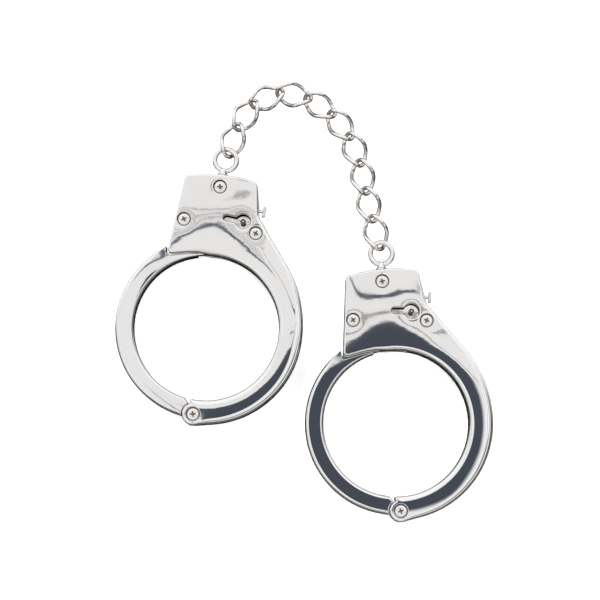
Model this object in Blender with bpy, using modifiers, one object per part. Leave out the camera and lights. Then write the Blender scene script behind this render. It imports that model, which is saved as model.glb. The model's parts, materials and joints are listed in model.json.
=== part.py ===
"""Pair of handcuffs joined by a curb chain, laid flat on the XY plane.

Dimensions are in millimetres and are scaled to metres when a mesh is finished.
Each cuff is modelled in its own frame: the origin is the centre of the wrist
opening, +X points to the fixed arm's side, +Y points at the lock case and Z = 0
is the table. The two cuffs and the chain are then set out with empties.
"""
import math

import bmesh
import bpy
from mathutils import Matrix, Vector

MM = 0.001

# Fits
GAP = 0.3                # between pieces that touch or slide
SEAM = 0.2               # between the two halves of the case

# Wrist opening, arms and hinge
HOLE_R = 27.5
BOW_R = 34.5
ARM_R = 36.5
HINGE = (2.1, -33.0)
KNUCKLE_R = 4.2
HINGE_TONGUE = 3.6       # thickness of the bow inside the knuckle

# Thickness
CASE_T = 11.0
BOW_T = 8.6
MID = CASE_T / 2.0
WALL = 1.5
FRONT_WALL = 2.6         # thicker, to take the sunk screw heads
FRONT_Z = CASE_T - FRONT_WALL
CASE_RIM = 0.8           # rounding of the case's rims
BOW_RIM = 1.3            # rounding of the bow's rims

# Ratchet: the teeth lie on an arc about the hinge
TOOTH_R = 63.4
TOOTH_DEPTH = 0.9
TOOTH_STEP = 2.0         # degrees about the hinge
TONGUE_T = 4.4
SHOULDER = 130.0         # where the bow's full section ends, degrees about the hole
NOSE_R = 60.83           # edge of the bow's nose, about the hinge, clear of the case
TONGUE_TIP = 98.0        # degrees about the hinge

# Pawl
PAWL_PIN = (6.5, 34.6)
PAWL_T = 4.2
PAWL_LIFT = 4.2          # degrees that the pawl stands above full mesh at rest

# Case fittings
SCREWS = ((-6.1, 53.5), (-16.9, 38.6), (10.9, 38.9))
KEY_POST = (5.2, 42.4)
KEY_SLOT_END = (-2.4, 42.3)
KEY_FLOOR_Z = 5.2
EYE_X = -6.4
EYE_Y = 64.6
LEVER_Y = 48.2
SEAT_DEPTH = 1.7         # of the recess under each pan head
SEAT_R = 2.6

# Swivel eye
EYE_R = 4.2
EYE_WIRE = 1.0
NECK_R = 1.85
COLLAR_R = 3.0
COLLAR_Y = (55.8, 56.8)
NECK_HOLE_R = 2.15

# Chain
LINK_HALF = 6.6
LINK_WIDE = 4.25
LINK_WIRE = 0.85
LINK_TWIST = 50.0        # degrees that each end is turned from the middle
LINK_PITCH = 11.0
EYE_REACH = 2.8          # from the eye's centre to the first bend of the chain

# Layout on the table
LEFT_AT = (-36.94, -10.75)
LEFT_TURN = -12.0
HEADINGS = (71.0, 56.0, 23.0, -12.0, -35.0, -52.0, -69.0, -79.0, -77.0, -75.0)
RIGHT_TURN = -1.0


# --------------------------------------------------------------------------
# Outline and mesh helpers

def polar(radius, angle, centre=(0.0, 0.0)):
    """Point at a radius and an angle in degrees about a centre."""
    turn = math.radians(angle)
    return (centre[0] + radius * math.cos(turn), centre[1] + radius * math.sin(turn))


def arc(radius, start, end, centre=(0.0, 0.0), step=7.5):
    """Points along a circular arc, both ends included."""
    count = max(1, math.ceil(abs(end - start) / step))
    return [polar(radius, start + (end - start) * i / count, centre) for i in range(count + 1)]


def fillet(before, corner, after, radius, count=4):
    """Points of a rounded corner between two straight sides."""
    here = Vector(corner)
    back = (Vector(before) - here).normalized()
    ahead = (Vector(after) - here).normalized()
    half = back.angle(ahead) / 2.0
    reach = radius / math.tan(half)
    centre = here + (back + ahead).normalized() * (radius / math.sin(half))
    first = (here + back * reach - centre).normalized()
    last = (here + ahead * reach - centre).normalized()
    return [tuple(centre + first.slerp(last, i / count) * radius) for i in range(count + 1)]


def bowed(start, end, rise, count=8):
    """Points of a shallow arch from start to end, bulging to the right of travel."""
    run = Vector(end) - Vector(start)
    side = Vector((run.y, -run.x)).normalized()
    points = []
    for i in range(count + 1):
        t = i / count
        points.append(tuple(Vector(start) + run * t + side * (rise * 4.0 * t * (1.0 - t))))
    return points


def evaluated_mesh(obj):
    """Mesh of an object with its modifiers or curve bevel applied."""
    graph = bpy.context.evaluated_depsgraph_get()
    return bpy.data.meshes.new_from_object(obj.evaluated_get(graph), depsgraph=graph)


def welded(mesh):
    """Join coincident points and face all normals outwards."""
    work = bmesh.new()
    work.from_mesh(mesh)
    bmesh.ops.remove_doubles(work, verts=work.verts, dist=0.0005)
    bmesh.ops.recalc_face_normals(work, faces=work.faces)
    work.to_mesh(mesh)
    work.free()
    return mesh


def drop(obj):
    """Remove a helper object and its data."""
    data = obj.data
    bpy.data.objects.remove(obj)
    if isinstance(data, bpy.types.Curve):
        bpy.data.curves.remove(data)
    elif isinstance(data, bpy.types.Mesh):
        bpy.data.meshes.remove(data)


def baked(obj):
    """Replace a helper object by a plain welded mesh object."""
    bpy.context.view_layer.update()
    mesh = welded(evaluated_mesh(obj))
    mesh.transform(obj.matrix_world)
    drop(obj)
    solid = bpy.data.objects.new("solid", mesh)
    bpy.context.scene.collection.objects.link(solid)
    return solid


def slab(outline, low, high, rim=0.0):
    """Flat plate between two heights, with rounded rims where rim is set."""
    curve = bpy.data.curves.new("outline", "CURVE")
    curve.dimensions = "2D"
    curve.fill_mode = "BOTH"
    curve.extrude = (high - low) / 2.0 - rim
    curve.bevel_depth = rim
    curve.bevel_resolution = 0
    curve.offset = -rim
    line = curve.splines.new("POLY")
    line.points.add(len(outline) - 1)
    for point, (x, y) in zip(line.points, outline):
        point.co = (x, y, 0.0, 1.0)
    line.use_cyclic_u = True
    plate = bpy.data.objects.new("plate", curve)
    bpy.context.scene.collection.objects.link(plate)
    plate.location.z = (low + high) / 2.0
    return baked(plate)


def turned(profile, place=Matrix.Identity(4), sides=16):
    """Solid of revolution about Z from (radius, height) points, top to bottom."""
    mesh = bpy.data.meshes.new("profile")
    points = [(radius, 0.0, height) for radius, height in profile]
    edges = [(i, i + 1) for i in range(len(points) - 1)]
    mesh.from_pydata(points, edges, [])
    lathe = bpy.data.objects.new("lathe", mesh)
    bpy.context.scene.collection.objects.link(lathe)
    screw = lathe.modifiers.new("turn", "SCREW")
    screw.steps = sides
    screw.render_steps = sides
    screw.use_merge_vertices = True
    screw.merge_threshold = 0.0001
    lathe.matrix_world = place
    return baked(lathe)


def rod(centre, radius, low, high, sides=16):
    """Upright cylinder at an (x, y) place."""
    profile = ((0.0, high), (radius, high), (radius, low), (0.0, low))
    return turned(profile, Matrix.Translation((centre[0], centre[1], 0.0)), sides)


def wire(points, radius, closed, rings=2):
    """Round wire along a line of points."""
    curve = bpy.data.curves.new("wire", "CURVE")
    curve.dimensions = "3D"
    curve.bevel_depth = radius
    curve.bevel_resolution = rings
    curve.use_fill_caps = not closed
    line = curve.splines.new("POLY")
    line.points.add(len(points) - 1)
    for point, place in zip(line.points, points):
        point.co = (*place, 1.0)
    line.use_cyclic_u = closed
    strand = bpy.data.objects.new("strand", curve)
    bpy.context.scene.collection.objects.link(strand)
    return baked(strand)


def combine(base, operation, *tools):
    """Apply one Boolean operation with each tool in turn, and drop the tools."""
    for tool in tools:
        step = base.modifiers.new("combine", "BOOLEAN")
        step.operation = operation
        step.solver = "EXACT"
        step.object = tool
        base = baked(base)
        drop(tool)
    return base


def cut(base, *tools):
    return combine(base, "DIFFERENCE", *tools)


def join(base, *tools):
    return combine(base, "UNION", *tools)


def circles_meet(radius, centre, other_radius, towards):
    """Where a circle about the origin meets a circle about centre, on one side."""
    distance = math.hypot(*centre)
    along = (distance ** 2 + radius ** 2 - other_radius ** 2) / (2.0 * distance)
    across = math.sqrt(radius ** 2 - along ** 2) * towards
    ux, uy = centre[0] / distance, centre[1] / distance
    return (ux * along - uy * across, uy * along + ux * across)


def ray_meets_hole(angle, radius):
    """Point on a circle about the origin, seen from the hinge at an angle."""
    turn = math.radians(angle)
    dx, dy = math.cos(turn), math.sin(turn)
    along = HINGE[0] * dx + HINGE[1] * dy
    outside = HINGE[0] ** 2 + HINGE[1] ** 2 - radius ** 2
    reach = -along - math.sqrt(along ** 2 - outside)
    return (HINGE[0] + reach * dx, HINGE[1] + reach * dy)


def angle_of(point, centre=(0.0, 0.0)):
    """Direction of a point from a centre, in degrees."""
    return math.degrees(math.atan2(point[1] - centre[1], point[0] - centre[0]))


# --------------------------------------------------------------------------
# Case halves

ARM_CUT = 118.0          # the arm's end above the knuckle, degrees about the hinge
BOW_CUT = 126.0          # the bow's end beside it


def case_outline():
    """Lock case and fixed arm, anticlockwise from below the knuckle."""
    arm_end = ray_meets_hole(ARM_CUT, HOLE_R)
    points = arc(ARM_R, -77.0, 0.0)
    points += arc(44.0, 3.5, 43.9, (-7.5, 0.0))
    points += fillet((24.2, 30.5), (10.7, 45.3), (7.5, 58.2), 5.0)
    points += fillet((10.7, 45.3), (7.5, 58.2), (1.0, 58.9), 1.6)
    points += bowed((5.6, 58.4), (-17.9, 55.9), 1.1, 6)[1:-1]
    points += fillet((-12.0, 57.4), (-20.0, 55.4), (-20.4, 40.0), 2.0)
    points += fillet((-20.0, 55.4), (-20.5, 24.3), (-12.9, 26.6), 1.6)
    points += [(-12.9, 26.5), (-8.5, 27.2)]
    points += arc(HOLE_R, 98.0, angle_of(arm_end))
    points += arc(KNUCKLE_R, ARM_CUT, 285.0, HINGE, 12.0)
    return points


def lock_chamber():
    """Hollow of the case that holds the pawl, the spring and the key."""
    outline = [(-18.7, 33.2), (-9.0, 31.4), (15.0, 31.4), (17.6, 34.4)]
    outline += [(8.9, 43.9), (6.1, 55.2), (4.9, 56.4), (-3.0, 57.0)]
    outline += [(-9.8, 57.0), (-17.2, 53.6), (-18.7, 52.4)]
    return slab(outline, WALL, CASE_T - FRONT_WALL)


def tongue_channel():
    """Slot through the case that the tongue runs in, open to the wrist."""
    roof = arc(TOOTH_R + 0.8, 88.5, 133.0, HINGE, 2.5)
    floor = [(-30.0, 12.0), (4.0, 20.0)]
    high = MID + TONGUE_T / 2.0 + GAP
    low = MID - TONGUE_T / 2.0 - GAP
    return slab(roof + floor, low, high)


def pawl_window():
    """Opening between the chamber and the channel for the pawl's teeth."""
    outline = [(-18.7, 24.0), (4.0, 28.0), (4.0, 33.0), (-18.7, 34.0)]
    return slab(outline, MID - TONGUE_T / 2.0 - GAP, MID + TONGUE_T / 2.0 + GAP)


def knuckle_slot():
    """Gap between the arm's two cheeks for the bow's hinge tongue."""
    half = HINGE_TONGUE / 2.0 + GAP
    return slab(arc(KNUCKLE_R + GAP, 0.0, 345.0, HINGE, 15.0), MID - half, MID + half)


def eye_seat():
    """Bore and pocket in the case's top for the eye's neck and collar."""
    turn = Matrix.Translation((EYE_X, 0.0, MID)) @ Matrix.Rotation(-math.pi / 2.0, 4, "X")
    bore = turned(((0.0, 62.0), (NECK_HOLE_R, 62.0), (NECK_HOLE_R, 55.0), (0.0, 55.0)), turn)
    pocket_r = COLLAR_R + GAP
    low, high = COLLAR_Y[0] - 0.25, COLLAR_Y[1] + GAP
    pocket = turned(((0.0, high), (pocket_r, high), (pocket_r, low), (0.0, low)), turn)
    return bore, pocket


def lever_slot():
    """Window in the right-hand wall for the release lever."""
    outline = [(6.0, LEVER_Y - 1.3), (14.0, LEVER_Y - 1.3)]
    outline += [(14.0, LEVER_Y + 1.1), (6.0, LEVER_Y + 1.1)]
    return slab(outline, MID - 1.1, MID + 1.1)


def keyhole():
    """Round hole with a slot to the left, through the front plate."""
    outline = arc(2.75, -160.0, 160.0, KEY_POST, 20.0)
    outline += arc(0.95, 90.0, 270.0, KEY_SLOT_END, 30.0)
    return slab(outline, CASE_T - FRONT_WALL - 1.0, CASE_T + 1.0)


def screw_recess(centre, radius):
    """Sunk seat in the front face for a pan head."""
    return rod(centre, radius, CASE_T - SEAT_DEPTH, CASE_T + 1.0)


def case_half(front):
    """One half of the case, from the full outline."""
    body = slab(case_outline(), 0.0, CASE_T, CASE_RIM)
    reach = 80.0
    sheet = [(-reach, -reach), (reach, -reach), (reach, reach), (-reach, reach)]
    if front:
        body = cut(body, slab(sheet, -5.0, MID + SEAM / 2.0))
    else:
        body = cut(body, slab(sheet, MID - SEAM / 2.0, CASE_T + 5.0))
    body = cut(body, lock_chamber(), tongue_channel(), pawl_window(), knuckle_slot())
    return body


def front_case():
    """Front half: screw seats, bosses, keyhole and pin socket."""
    body = case_half(True)
    seam = MID + SEAM / 2.0
    body = join(body, rod(SCREWS[0], 2.0, seam, CASE_T - 1.0))
    body = join(body, rod(SCREWS[1], 2.2, seam, CASE_T - 1.0))
    body = cut(body, *eye_seat(), lever_slot(), keyhole())
    for place in SCREWS:
        body = cut(body, screw_recess(place, SEAT_R), rod(place, 1.2, 2.0, CASE_T, 12))
    body = cut(body, screw_recess(HINGE, SEAT_R + 0.2), rod(HINGE, 1.5, 2.0, CASE_T))
    body = cut(body, rod(PAWL_PIN, 1.35, MID, FRONT_Z + 0.8))
    return body


def back_case():
    """Back half: screw bosses, key floor, spring rib and pin sockets."""
    body = case_half(False)
    seam = MID - SEAM / 2.0
    body = join(body, rod(SCREWS[0], 2.0, 1.0, seam))
    body = join(body, rod(SCREWS[1], 2.2, 1.0, seam))
    body = join(body, rod(KEY_POST, 3.3, 1.0, KEY_FLOOR_Z))
    rib = [(-19.0, 43.9), (-10.6, 43.9), (-10.6, 45.2), (-19.0, 45.2)]
    body = join(body, slab(rib, 1.0, seam))
    body = cut(body, *eye_seat(), lever_slot())
    for place in SCREWS:
        body = cut(body, rod(place, 1.05, 1.2, CASE_T, 12))
    body = cut(body, rod(HINGE, 1.5, 1.2, CASE_T))
    body = cut(body, rod(PAWL_PIN, 1.35, 0.8, MID, 16), rod(KEY_POST, 1.3, 2.6, MID))
    return body


# --------------------------------------------------------------------------
# Fasteners and pins

def pan_screw(centre, length, shank):
    """Pan-head screw with a cross recess, head sunk in the front face."""
    top = CASE_T - 0.25
    under = CASE_T - SEAT_DEPTH + 0.1
    profile = [(0.0, top), (1.6, top), (2.25, top - 0.5), (2.4, under)]
    profile += [(shank, under), (shank, top - length), (0.0, top - length)]
    screw = turned(profile, Matrix.Translation((centre[0], centre[1], 0.0)), 14)
    for turn in (30.0, 120.0):
        bar = slab([(-1.25, -0.28), (1.25, -0.28), (1.25, 0.28), (-1.25, 0.28)], -0.8, 1.0)
        place = Matrix.Translation((centre[0], centre[1], top))
        bar.data.transform(place @ Matrix.Rotation(math.radians(turn), 4, "Z"))
        screw = cut(screw, bar)
    return screw


def key_post():
    """Hollow pin that guides the key."""
    top = CASE_T - 0.9
    profile = [(0.0, top - 1.0), (0.55, top - 1.0), (0.55, top), (1.0, top)]
    profile += [(1.0, 2.9), (0.0, 2.9)]
    place = Matrix.Translation((KEY_POST[0], KEY_POST[1], 0.0))
    return turned(profile, place)


def pawl_pin():
    """Pivot pin of the pawl, held in both halves."""
    return rod(PAWL_PIN, 1.05, 0.8 + 0.15, FRONT_Z + 0.8 - 0.15, 16)


# --------------------------------------------------------------------------
# Bow

def tooth_edge(start, end, tip, root):
    """Sawtooth line about the hinge between two angles, one tooth each step."""
    points = []
    count = round(abs(end - start) / TOOTH_STEP)
    step = (end - start) / count
    for i in range(count):
        points.append(polar(root, start + step * i, HINGE))
        points.append(polar(tip, start + step * (i + 0.85), HINGE))
    points.append(polar(root, end, HINGE))
    return points


def bow_nose():
    """Tapered crescent of the bow that runs along the case's lower edge."""
    outline = arc(HOLE_R + 0.1, 140.0, 108.0) + arc(NOSE_R, 100.3, 111.9, HINGE, 3.0)
    return slab(outline, MID - 4.0, MID + 4.0)


def bow():
    """Swinging arm with its nose, hinge tongue and toothed lock tongue."""
    outer = circles_meet(BOW_R, HINGE, KNUCKLE_R + GAP, -1.0)
    inner = ray_meets_hole(BOW_CUT, HOLE_R)
    outline = arc(BOW_R, SHOULDER, angle_of(outer) + 360.0)
    outline += arc(KNUCKLE_R + GAP, angle_of(outer, HINGE) % 360.0, BOW_CUT, HINGE, 12.0)
    outline += arc(HOLE_R, angle_of(inner) % 360.0, SHOULDER)
    body = slab(outline, MID - BOW_T / 2.0, MID + BOW_T / 2.0, BOW_RIM)
    body = join(body, bow_nose())

    half = HINGE_TONGUE / 2.0
    neck = arc(BOW_R - 1.2, 250.0, 268.0) + arc(HOLE_R + 1.5, 268.0, 250.0)
    body = join(body, slab(neck, MID - half, MID + half))
    body = join(body, rod(HINGE, KNUCKLE_R - 0.1, MID - half, MID + half, 24))
    body = cut(body, rod(HINGE, 1.5, 0.0, CASE_T))

    half = TONGUE_T / 2.0
    root = TOOTH_R - TOOTH_DEPTH
    teeth = tooth_edge(TONGUE_TIP, 110.0, TOOTH_R, root)
    tongue = teeth + [polar(root, 113.0, HINGE)] + arc(BOW_R - 1.6, 133.0, 139.0)
    tongue += arc(HOLE_R + 0.3, 139.0, 104.0)
    return join(body, slab(tongue, MID - half, MID + half))


# --------------------------------------------------------------------------
# Lock parts

def about_pin(point, turn):
    """Turn a point about the pawl's pin by an angle in degrees."""
    angle = math.radians(turn)
    dx, dy = point[0] - PAWL_PIN[0], point[1] - PAWL_PIN[1]
    x = PAWL_PIN[0] + dx * math.cos(angle) - dy * math.sin(angle)
    y = PAWL_PIN[1] + dx * math.sin(angle) + dy * math.cos(angle)
    return (x, y)


def pawl():
    """Ratchet lever: drawn in full mesh, then lifted clear of the teeth."""
    fit = 0.12
    first = TONGUE_TIP + 2.0 * TOOTH_STEP + 0.08
    last = first + 2.0 * TOOTH_STEP
    teeth = tooth_edge(first, last, TOOTH_R + fit, TOOTH_R - TOOTH_DEPTH + fit)[::-1]
    backs = [polar(TOOTH_R + 0.9, 101.6, HINGE), (-6.0, 31.3), (3.0, 32.1)]
    front = [(-16.4, 33.0), polar(TOOTH_R + 0.9, 106.4, HINGE)]
    boss = arc(2.5, -110.0, 100.0, PAWL_PIN, 15.0)
    top = [(1.0, 36.4), (-5.4, 36.0), (-5.4, 49.4), (-8.2, 49.4), (-8.4, 35.2)]
    outline = front + teeth + backs + boss + top
    lifted = [about_pin(point, -PAWL_LIFT) for point in outline]
    body = slab(lifted, MID - PAWL_T / 2.0, MID + PAWL_T / 2.0)
    return cut(body, rod(PAWL_PIN, 1.35, 0.0, CASE_T))


def release_lever():
    """Flat bar from the pawl's tail out through the wall, with a cross end."""
    bar = slab([(-3.9, LEVER_Y - 0.6), (11.8, LEVER_Y - 0.6), (11.8, LEVER_Y + 0.4),
                (-3.9, LEVER_Y + 0.4)], MID - 0.8, MID + 0.8)
    cross = slab([(11.6, LEVER_Y - 2.2), (12.7, LEVER_Y - 2.2), (12.7, LEVER_Y + 2.1),
                  (11.6, LEVER_Y + 2.1)], MID - 0.9, MID + 0.9, 0.3)
    return join(bar, cross)


def pawl_spring():
    """Coil spring between the case's rib and the pawl's back."""
    turns, sides = 5, 10
    low, high, radius, strand = 36.4, 43.3, 1.35, 0.22
    points = []
    for i in range(turns * sides + 1):
        angle = 2.0 * math.pi * i / sides
        along = low + (high - low) * i / (turns * sides)
        points.append((-12.6 + radius * math.cos(angle), along, MID + radius * math.sin(angle)))
    return wire(points, strand, False, 0)


def swivel_eye():
    """Ring on a neck, with the collar that holds it in the case."""
    ring = wire([(EYE_X + EYE_R * math.cos(math.radians(a)),
                  EYE_Y + EYE_R * math.sin(math.radians(a)), MID) for a in range(0, 360, 18)],
                EYE_WIRE, True, 1)
    tip = EYE_Y - EYE_R + 0.8
    profile = [(0.0, tip), (1.3, tip), (1.4, 59.5), (NECK_R, 59.1)]
    profile += [(NECK_R, COLLAR_Y[1]), (COLLAR_R, COLLAR_Y[1]), (COLLAR_R, COLLAR_Y[0])]
    profile += [(0.0, COLLAR_Y[0])]
    turn = Matrix.Translation((EYE_X, 0.0, MID)) @ Matrix.Rotation(-math.pi / 2.0, 4, "X")
    return join(ring, turned(profile, turn))


def chain_link():
    """Curb link: an oval of wire, twisted about its long axis."""
    points = []
    steps = 24
    for i in range(steps):
        angle = 2.0 * math.pi * i / steps
        cosine, sine = math.cos(angle), math.sin(angle)
        x = LINK_HALF * math.copysign(abs(cosine) ** 0.87, cosine)
        y = LINK_WIDE * math.copysign(abs(sine) ** 0.87, sine)
        twist = -math.radians(LINK_TWIST) * math.sin(math.pi / 2.0 * x / LINK_HALF)
        points.append((x, y * math.cos(twist), y * math.sin(twist)))
    return wire(points, LINK_WIRE, True, 1)


# --------------------------------------------------------------------------
# Materials and assembly

def metal(name, colour, roughness):
    """Principled metal."""
    material = bpy.data.materials.new(name)
    material.use_nodes = True
    shader = material.node_tree.nodes["Principled BSDF"]
    shader.inputs["Base Color"].default_value = (*colour, 1.0)
    shader.inputs["Metallic"].default_value = 1.0
    shader.inputs["Roughness"].default_value = roughness
    return material


CHROME = ("chrome", (0.86, 0.86, 0.87), 0.06)
STEEL = ("plated_steel", (0.72, 0.71, 0.70), 0.22)
HARD = ("hardened_steel", (0.42, 0.42, 0.44), 0.35)
SPRING = ("spring_steel", (0.55, 0.55, 0.57), 0.30)


def place(name, mesh, origin, material, parent, collection):
    """Put a copy of a millimetre mesh under an empty, with its origin at a point."""
    copy = mesh.copy()
    copy.name = name
    copy.transform(Matrix.Translation((-origin[0], -origin[1], -origin[2])))
    copy.transform(Matrix.Scale(MM, 4))
    copy.materials.clear()
    copy.materials.append(material)
    part = bpy.data.objects.new(name, copy)
    part.location = [value * MM for value in origin]
    part.parent = parent
    collection.objects.link(part)
    copy.shade_smooth()
    copy.set_sharp_from_angle(angle=0.6)
    return part


def empty(name, at, turn, collection):
    """Frame for a cuff or a link on the table."""
    frame = bpy.data.objects.new(name, None)
    frame.location = (at[0] * MM, at[1] * MM, 0.0)
    frame.rotation_euler.z = math.radians(turn)
    collection.objects.link(frame)
    return frame


def cuff_pieces():
    """Every piece of one cuff: name, mesh, origin on its axis, material key."""
    centre = (0.0, 0.0, 0.0)
    hinge = (*HINGE, MID)
    pin = (*PAWL_PIN, MID)
    eye = (EYE_X, COLLAR_Y[0], MID)
    pieces = [("front_case", front_case(), centre, CHROME),
              ("back_case", back_case(), centre, CHROME)]
    for i, spot in enumerate(SCREWS):
        pieces.append((f"case_screw_{i + 1}", pan_screw(spot, 8.5, 0.85), (*spot, MID), STEEL))
    pieces += [("hinge_screw", pan_screw(HINGE, 9.0, 1.2), hinge, STEEL),
               ("key_post", key_post(), (*KEY_POST, MID), STEEL),
               ("pawl_pin", pawl_pin(), pin, STEEL),
               ("pawl_spring", pawl_spring(), (-12.6, 43.3, MID), SPRING),
               ("pawl", pawl(), pin, HARD),
               ("release_lever", release_lever(), pin, STEEL),
               ("bow", bow(), hinge, CHROME),
               ("swivel_eye", swivel_eye(), eye, CHROME)]
    return pieces


def eye_centre(at, turn):
    """Table position of a cuff's eye."""
    spin = Matrix.Rotation(math.radians(turn), 2)
    return Vector(at) + spin @ Vector((EYE_X, EYE_Y))


def along(heading, distance):
    return Vector(polar(distance, heading))


def build():
    """Lay out the two cuffs and the chain."""
    for obj in list(bpy.data.objects):
        bpy.data.objects.remove(obj)
    parts = bpy.data.collections.new("handcuffs")
    bpy.context.scene.collection.children.link(parts)
    materials = {name: metal(name, colour, rough) for name, colour, rough
                 in (CHROME, STEEL, HARD, SPRING)}

    joint = eye_centre(LEFT_AT, LEFT_TURN) + along(HEADINGS[0], EYE_REACH)
    link = chain_link()
    for i, heading in enumerate(HEADINGS):
        name = f"chain_link_{i + 1:02d}"
        frame = empty(f"bend_{i + 1:02d}", joint, heading, parts)
        piece = place(name, link.data, (0.0, 0.0, 0.0), materials["chrome"], frame, parts)
        piece.location = (LINK_PITCH / 2.0 * MM, 0.0, MID * MM)
        joint = joint + along(heading, LINK_PITCH)
    drop(link)

    far_eye = joint + along(HEADINGS[-1], EYE_REACH)
    right_at = far_eye - eye_centre((0.0, 0.0), RIGHT_TURN)
    cuffs = (("left", LEFT_AT, LEFT_TURN), ("right", tuple(right_at), RIGHT_TURN))
    pieces = cuff_pieces()
    for side, at, turn in cuffs:
        frame = empty(f"cuff_{side}", at, turn, parts)
        for name, solid, origin, material in pieces:
            place(f"{side}_{name}", solid.data, origin, materials[material[0]], frame, parts)
    for piece in pieces:
        drop(piece[1])


build()
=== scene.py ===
"""Finished look of a pair of chrome-plated handcuffs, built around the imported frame.

Each cuff is modelled in millimetres in its own frame: the origin is the centre of
the wrist opening, +X points to the fixed arm's side, +Y to the lock case and Z = 0
is the table. The joints of the frame say where the cuffs and the links go.
"""
import json
import math

import bmesh
import bpy
from mathutils import Matrix, Vector

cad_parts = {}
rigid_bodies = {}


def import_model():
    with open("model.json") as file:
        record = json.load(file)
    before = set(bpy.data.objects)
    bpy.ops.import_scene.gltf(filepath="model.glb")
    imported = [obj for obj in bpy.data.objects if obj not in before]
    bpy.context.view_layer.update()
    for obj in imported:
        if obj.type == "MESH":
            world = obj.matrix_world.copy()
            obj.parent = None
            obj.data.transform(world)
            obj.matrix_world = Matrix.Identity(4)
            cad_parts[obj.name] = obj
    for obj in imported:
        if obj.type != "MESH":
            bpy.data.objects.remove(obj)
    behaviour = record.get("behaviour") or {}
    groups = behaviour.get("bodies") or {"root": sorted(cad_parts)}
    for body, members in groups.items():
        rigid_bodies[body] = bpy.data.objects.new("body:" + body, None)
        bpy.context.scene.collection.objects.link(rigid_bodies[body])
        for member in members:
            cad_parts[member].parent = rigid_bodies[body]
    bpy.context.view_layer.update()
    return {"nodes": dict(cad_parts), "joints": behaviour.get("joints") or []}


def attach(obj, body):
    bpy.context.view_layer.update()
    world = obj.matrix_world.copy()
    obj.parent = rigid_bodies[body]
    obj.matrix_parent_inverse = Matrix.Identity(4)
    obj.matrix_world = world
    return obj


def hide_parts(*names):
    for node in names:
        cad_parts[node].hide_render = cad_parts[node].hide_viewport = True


for leftover in list(bpy.data.objects):
    bpy.data.objects.remove(leftover)

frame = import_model()

MM = 0.001
SPOTS = {joint["name"]: Vector(joint["pos_m"]) / MM for joint in frame["joints"]}
AXES = {joint["name"]: Vector(joint["axis"]) for joint in frame["joints"]}

# Sizes that the frame was built to
HOLE_R = 27.5
BOW_R = 34.5
ARM_R = 36.5
HINGE = (2.1, -33.0)
KNUCKLE_R = 4.2
GAP = 0.3
SEAM = 0.2
CASE_T = 11.0
MID = CASE_T / 2.0
BOW_T = 8.6
HINGE_TONGUE = 3.6
TONGUE_T = 4.4
FRONT_Z = 8.4            # underside of the front plate
BACK_Z = 1.5             # top of the back plate
TOOTH_R = 63.4
TOOTH_DEPTH = 0.9
TOOTH_STEP = 2.0
TONGUE_TIP = 98.0
NOSE_R = 60.83
PAWL_PIN = (6.5, 34.6)
SCREWS = ((-6.1, 53.5), (-16.9, 38.6), (10.9, 38.9))
SEAT_DEPTH = 1.7
SEAT_R = 2.6
SEAT_LIP = 0.28          # rounding of a screw recess's mouth
KEY_POST = (5.2, 42.4)
KEY_HOLE_R = 2.95
KEY_SLOT_X = -1.3        # centre of the slot's round end
KEY_SLOT_HALF = 1.25
KEY_LIP = 0.6            # rounding of the keyhole's mouth
KEY_FLOOR_Z = 5.2
EYE = (-6.4, 64.6)
EYE_R = 4.2
EYE_WIRE = 0.93
NECK_R = 1.85
COLLAR_R = 3.0
COLLAR_Y = (55.8, 56.8)
LEVER_Y = 48.2
LINK_HALF = 6.6
LINK_WIDE = 4.25
LINK_WIRE = 0.81
LINK_TWIST = 50.0
LINKS = 10
WIRE_SIDES = 24

PLACE = "place_in_cuff"  # mesh attribute: where a point is in its cuff's own frame, in mm
CRISP = math.radians(35.0)   # edges sharper than this stay sharp


# --------------------------------------------------------------------------
# Outlines

def polar(radius, angle, centre=(0.0, 0.0)):
    turn = math.radians(angle)
    return (centre[0] + radius * math.cos(turn), centre[1] + radius * math.sin(turn))


def arc(radius, start, end, centre=(0.0, 0.0), step=2.0):
    count = max(1, math.ceil(abs(end - start) / step))
    return [polar(radius, start + (end - start) * i / count, centre) for i in range(count + 1)]


def angle_of(point, centre=(0.0, 0.0)):
    return math.degrees(math.atan2(point[1] - centre[1], point[0] - centre[0]))


def fillet(before, corner, after, radius, count=10):
    """Rounded corner between two straight sides."""
    here = Vector(corner)
    back = (Vector(before) - here).normalized()
    ahead = (Vector(after) - here).normalized()
    half = back.angle(ahead) / 2.0
    reach = radius / math.tan(half)
    centre = here + (back + ahead).normalized() * (radius / math.sin(half))
    first = (here + back * reach - centre).normalized()
    last = (here + ahead * reach - centre).normalized()
    return [tuple(centre + first.slerp(last, i / count) * radius) for i in range(count + 1)]


def bowed(start, end, rise, count=24):
    """Shallow arch from start to end, bulging to the right of travel."""
    run = Vector(end) - Vector(start)
    side = Vector((run.y, -run.x)).normalized()
    points = []
    for i in range(count + 1):
        t = i / count
        points.append(tuple(Vector(start) + run * t + side * (rise * 4.0 * t * (1.0 - t))))
    return points


def circles_meet(radius, centre, other_radius, towards):
    """Where a circle about the origin meets a circle about centre, on one side."""
    distance = math.hypot(*centre)
    along = (distance ** 2 + radius ** 2 - other_radius ** 2) / (2.0 * distance)
    across = math.sqrt(radius ** 2 - along ** 2) * towards
    ux, uy = centre[0] / distance, centre[1] / distance
    return (ux * along - uy * across, uy * along + ux * across)


def ray_meets_hole(angle, radius):
    """Point on a circle about the origin, seen from the hinge at an angle."""
    turn = math.radians(angle)
    dx, dy = math.cos(turn), math.sin(turn)
    along = HINGE[0] * dx + HINGE[1] * dy
    outside = HINGE[0] ** 2 + HINGE[1] ** 2 - radius ** 2
    reach = -along - math.sqrt(along ** 2 - outside)
    return (HINGE[0] + reach * dx, HINGE[1] + reach * dy)


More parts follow.
